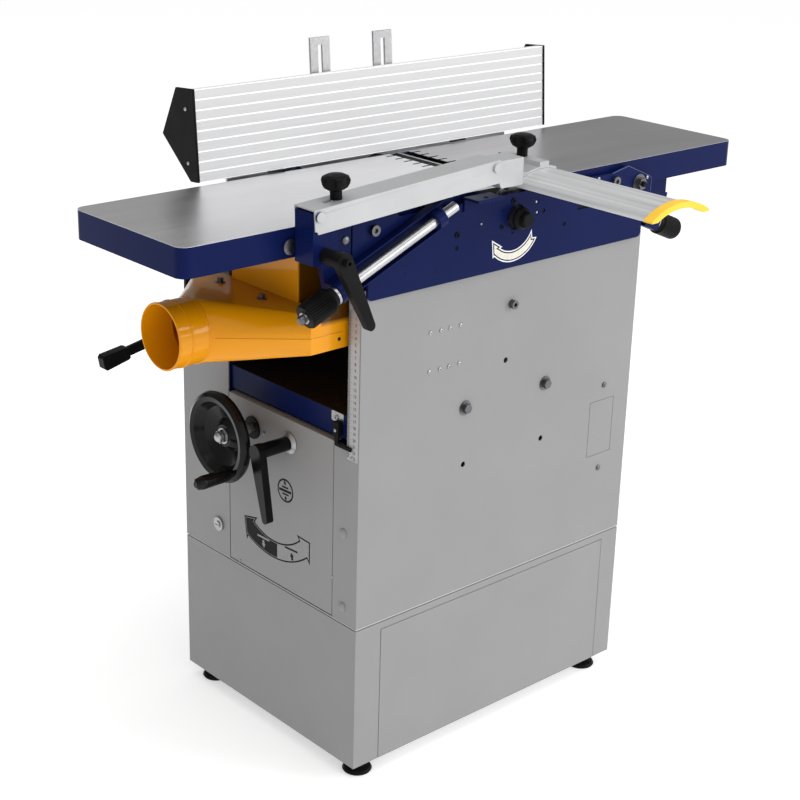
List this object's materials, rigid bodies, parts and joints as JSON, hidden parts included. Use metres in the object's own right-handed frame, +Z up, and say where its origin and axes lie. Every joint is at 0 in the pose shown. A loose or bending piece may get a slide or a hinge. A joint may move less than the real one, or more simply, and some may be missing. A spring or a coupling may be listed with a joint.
{
  "type": "combination planer thicknesser",
  "caption": "Floor-standing planer thicknesser: long planing tables with guard and tilting fence above the cutter block, a rising thicknessing table, dust hood, handwheel and locks below",
  "frame": {"origin": "middle of the bounding box on the floor", "axes": "+X along the tables towards the infeed end, -Y towards the operator, +Z up"},
  "size_m": [1.152, 0.841, 1.1304],
  "materials": {
    "grey_paint": "fine powder coat",
    "blue_paint": "gloss paint",
    "table_iron": "ground on top, painted on the sides",
    "orange_paint": "gloss paint",
    "black_plastic": "moulded",
    "black_paint": "satin",
    "yellow_plastic": "moulded",
    "aluminium": "extruded, satin",
    "steel": "bright",
    "dark_iron": "as cast",
    "rubber": "dull",
    "green_plastic": "moulded",
    "red_plastic": "moulded"
  },
  "bodies": {
    "frame": {"base_plinth": "grey_paint", "plinth_front_panel": "grey_paint", "levelling_feet": "black_plastic", "cabinet_front_panel": "grey_paint", "left_end_panel": "grey_paint", "right_end_panel": "grey_paint", "drive_cover": "grey_paint", "front_side_plate": "blue_paint", "rear_side_plate": "blue_paint", "spindle_bearings": "dark_iron", "motor": "dark_iron", "drive_belt": "rubber", "kickback_shaft": "steel", "ruler_scale": "aluminium", "lift_housing": "dark_iron", "shaft_collar": "black_plastic", "lock_washer": "steel", "dust_hood": "orange_paint", "slide_rods": "steel", "rod_clamps": "blue_paint", "fence_guide": "blue_paint", "machine_screws": "steel", "switch_box": "black_plastic"},
    "latch": {"cover_latch": "steel"},
    "cutter": {"cutter_block": "steel", "cutter_knives": "steel", "spindle_cap": "black_plastic"},
    "motor_rotor": {"motor_pulley": "steel"},
    "infeed_roll": {"infeed_roller": "steel"},
    "outfeed_roll": {"outfeed_roller": "rubber"},
    "fingers": {"kickback_fingers": "steel"},
    "lift_table": {"thicknesser_table": "table_iron", "scale_pointer": "black_plastic"},
    "screw": {"lift_screw": "steel"},
    "wheel": {"handwheel": "black_plastic", "handwheel_shaft": "steel"},
    "wheel_grip": {"handwheel_grip": "black_plastic"},
    "lock": {"lock_lever": "black_plastic"},
    "left_table": {"outfeed_table": "table_iron", "outfeed_carrier": "blue_paint", "guard_bracket": "blue_paint"},
    "right_table": {"infeed_table": "table_iron", "infeed_carrier": "blue_paint"},
    "left_knob": {"outfeed_knob": "black_plastic"},
    "right_knob": {"infeed_knob": "black_plastic"},
    "clamp": {"clamp_lever": "black_plastic"},
    "arm": {"guard_arm": "aluminium"},
    "arm_lock": {"arm_knob": "black_plastic"},
    "holder": {"guard_holder": "aluminium"},
    "holder_lock": {"guard_knob": "black_plastic"},
    "guard": {"cutter_guard": "aluminium", "guard_end_cap": "yellow_plastic"},
    "carriage": {"fence_carriage": "steel"},
    "fence_body": {"fence": "aluminium", "fence_end_caps": "black_plastic", "fence_straps": "steel"},
    "fence_lock": {"fence_knob": "black_plastic"},
    "feed": {"feed_lever": "black_paint"},
    "start": {"start_button": "green_plastic"},
    "stop": {"stop_button": "red_plastic"}
  },
  "joints": [
    {"name": "cutter_spin", "type": "hinge", "parent": "frame", "child": "cutter", "pos_m": [0.035, 0.0105, 0.89], "axis": [0, 1, 0], "continuous": true},
    {"name": "motor_spin", "type": "hinge", "parent": "frame", "child": "motor_rotor", "pos_m": [0.205, 0.2005, 0.39], "axis": [0, 1, 0], "continuous": true},
    {"name": "infeed_roller_spin", "type": "hinge", "parent": "frame", "child": "infeed_roll", "pos_m": [-0.05, 0.0405, 0.859], "axis": [0, 1, 0], "continuous": true},
    {"name": "outfeed_roller_spin", "type": "hinge", "parent": "frame", "child": "outfeed_roll", "pos_m": [0.12, 0.0405, 0.859], "axis": [0, 1, 0], "continuous": true},
    {"name": "finger_swing", "type": "hinge", "parent": "frame", "child": "fingers", "pos_m": [-0.117, 0.0405, 0.88], "axis": [0, -1, 0], "range_deg": [0, 30]},
    {"name": "thicknesser_lift", "type": "slide", "parent": "frame", "child": "lift_table", "axis": [0, 0, 1], "range_m": [0, 0.105]},
    {"name": "lift_screw_turn", "type": "hinge", "parent": "frame", "child": "screw", "pos_m": [0.035, 0.1245, 0.4], "axis": [0, 0, 1], "continuous": true},
    {"name": "handwheel_turn", "type": "hinge", "parent": "frame", "child": "wheel", "pos_m": [-0.165, 0.1245, 0.536], "axis": [-1, 0, 0], "continuous": true},
    {"name": "grip_spin", "type": "hinge", "parent": "wheel", "child": "wheel_grip", "pos_m": [-0.365, 0.07544, 0.49336], "axis": [-1, 0, 0], "continuous": true},
    {"name": "lock_lever_turn", "type": "hinge", "parent": "frame", "child": "lock", "pos_m": [-0.295, 0.0305, 0.54], "axis": [-1, 0, 0], "range_deg": [0, 70]},
    {"name": "outfeed_table_slide", "type": "slide", "parent": "frame", "child": "left_table", "axis": [-0.9245, 0, -0.3811], "range_m": [0, 0.005]},
    {"name": "infeed_table_slide", "type": "slide", "parent": "frame", "child": "right_table", "axis": [0.9245, 0, -0.3811], "range_m": [0, 0.01]},
    {"name": "outfeed_knob_turn", "type": "hinge", "parent": "left_table", "child": "left_knob", "pos_m": [-0.37089, -0.1595, 0.82854], "axis": [-0.9245, 0, -0.3811], "continuous": true},
    {"name": "infeed_knob_turn", "type": "hinge", "parent": "right_table", "child": "right_knob", "pos_m": [0.44089, -0.1025, 0.80454], "axis": [0.9245, 0, -0.3811], "continuous": true},
    {"name": "clamp_lever_turn", "type": "hinge", "parent": "left_table", "child": "clamp", "pos_m": [-0.37, -0.1895, 0.906], "axis": [0, -1, 0], "range_deg": [-60, 60]},
    {"name": "guard_arm_lift", "type": "hinge", "parent": "left_table", "child": "arm", "pos_m": [-0.382, -0.1515, 0.9616], "axis": [0, -1, 0], "range_deg": [0, 12]},
    {"name": "guard_level", "type": "hinge", "parent": "arm", "child": "holder", "pos_m": [-0.04774, -0.1515, 0.9838], "axis": [0, -1, 0], "range_deg": [-12, 0]},
    {"name": "arm_knob_turn", "type": "hinge", "parent": "arm", "child": "arm_lock", "pos_m": [-0.33411, -0.1515, 0.96478], "axis": [-0.0663, 0, 0.9978], "range_deg": [0, 180]},
    {"name": "guard_slide", "type": "slide", "parent": "holder", "child": "guard", "axis": [0, 1, 0], "range_m": [0, 0.19]},
    {"name": "guard_knob_turn", "type": "hinge", "parent": "holder", "child": "holder_lock", "pos_m": [0.08, -0.1015, 0.982], "axis": [0, 0, 1], "range_deg": [0, 180]},
    {"name": "fence_slide", "type": "slide", "parent": "frame", "child": "carriage", "axis": [0, 1, 0], "range_m": [-0.15, 0]},
    {"name": "fence_tilt", "type": "hinge", "parent": "carriage", "child": "fence_body", "pos_m": [-0.028, 0.1765, 0.966], "axis": [-1, 0, 0], "range_deg": [-4.4, 40.6]},
    {"name": "fence_knob_turn", "type": "hinge", "parent": "frame", "child": "fence_lock", "pos_m": [-0.04, 0.2225, 0.985], "axis": [0, 0, 1], "range_deg": [0, 180]},
    {"name": "feed_lever_turn", "type": "hinge", "parent": "frame", "child": "feed", "pos_m": [-0.25, 0.3235, 0.655], "axis": [0, 1, 0], "range_deg": [0, 25]},
    {"name": "cover_latch_turn", "type": "hinge", "parent": "frame", "child": "latch", "pos_m": [-0.272, 0.2185, 0.332], "axis": [1, 0, 0], "range_deg": [0, 90]},
    {"name": "start_press", "type": "slide", "parent": "frame", "child": "start", "axis": [-1, 0, 0], "range_m": [0, 0.004], "stiffness_N_per_m": 1000, "springref_m": -0.001},
    {"name": "stop_press", "type": "slide", "parent": "frame", "child": "stop", "axis": [-1, 0, 0], "range_m": [0, 0.004], "stiffness_N_per_m": 1000, "springref_m": -0.001}
  ],
  "couplings": [
    {"joint": "motor_spin", "follows": "cutter_spin", "ratio": 0.58333},
    {"joint": "outfeed_roller_spin", "follows": "infeed_roller_spin", "ratio": 1},
    {"joint": "lift_screw_turn", "follows": "thicknesser_lift", "rad_per_m": 1570.8},
    {"joint": "handwheel_turn", "follows": "thicknesser_lift", "rad_per_m": 1570.8},
    {"joint": "outfeed_knob_turn", "follows": "outfeed_table_slide", "rad_per_m": 4188.8},
    {"joint": "infeed_knob_turn", "follows": "infeed_table_slide", "rad_per_m": 4188.8},
    {"joint": "guard_level", "follows": "guard_arm_lift", "ratio": -1}
  ]
}
